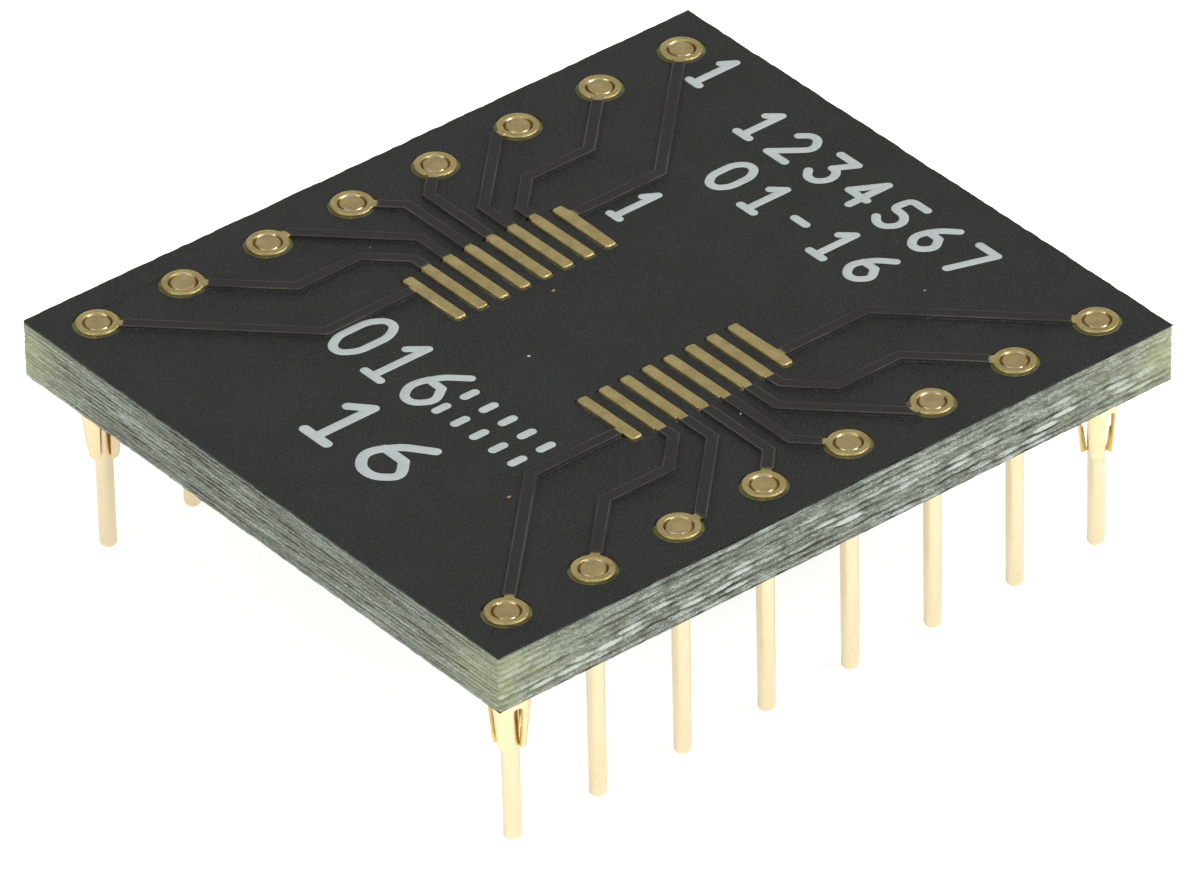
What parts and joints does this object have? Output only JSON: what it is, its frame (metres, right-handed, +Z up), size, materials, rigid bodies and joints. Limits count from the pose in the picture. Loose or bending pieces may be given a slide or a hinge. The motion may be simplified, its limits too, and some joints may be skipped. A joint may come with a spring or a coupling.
{
  "type": "ic socket adapter",
  "caption": "Small black circuit board with fine-pitch gold lands fanned out by tracks to rows of round gold plug pins, with spring clips on the corner pins.",
  "frame": {"origin": "centre of the footprint, at the height of the pin tips", "axes": "+X along the pin rows towards pin 1, +Y across the rows towards pin 1's row, +Z up out of the board's top face"},
  "size_m": [0.0204, 0.0178, 0.0065],
  "materials": {
    "laminate": "glass cloth in resin, sawn edges",
    "solder_mask": "satin black",
    "plated_copper": "satin gold plate",
    "gold_pin": "bright gold plate",
    "gold_clip": "bright gold plate"
  },
  "bodies": {
    "root": {"board_laminate": "laminate", "solder_mask_top": "solder_mask", "solder_mask_bottom": "solder_mask", "conductor_01": "plated_copper", "conductor_02": "plated_copper", "conductor_03": "plated_copper", "conductor_04": "plated_copper", "conductor_05": "plated_copper", "conductor_06": "plated_copper", "conductor_07": "plated_copper", "conductor_08": "plated_copper", "conductor_09": "plated_copper", "conductor_10": "plated_copper", "conductor_11": "plated_copper", "conductor_12": "plated_copper", "conductor_13": "plated_copper", "conductor_14": "plated_copper", "conductor_15": "plated_copper", "conductor_16": "plated_copper", "pin_01": "gold_pin", "pin_02": "gold_pin", "pin_03": "gold_pin", "pin_04": "gold_pin", "pin_05": "gold_pin", "pin_06": "gold_pin", "pin_07": "gold_pin", "pin_08": "gold_pin", "pin_09": "gold_pin", "pin_10": "gold_pin", "pin_11": "gold_pin", "pin_12": "gold_pin", "pin_13": "gold_pin", "pin_14": "gold_pin", "pin_15": "gold_pin", "pin_16": "gold_pin", "corner_clip_01": "gold_clip", "corner_clip_08": "gold_clip", "corner_clip_09": "gold_clip", "corner_clip_16": "gold_clip"}
  },
  "joints": []
}
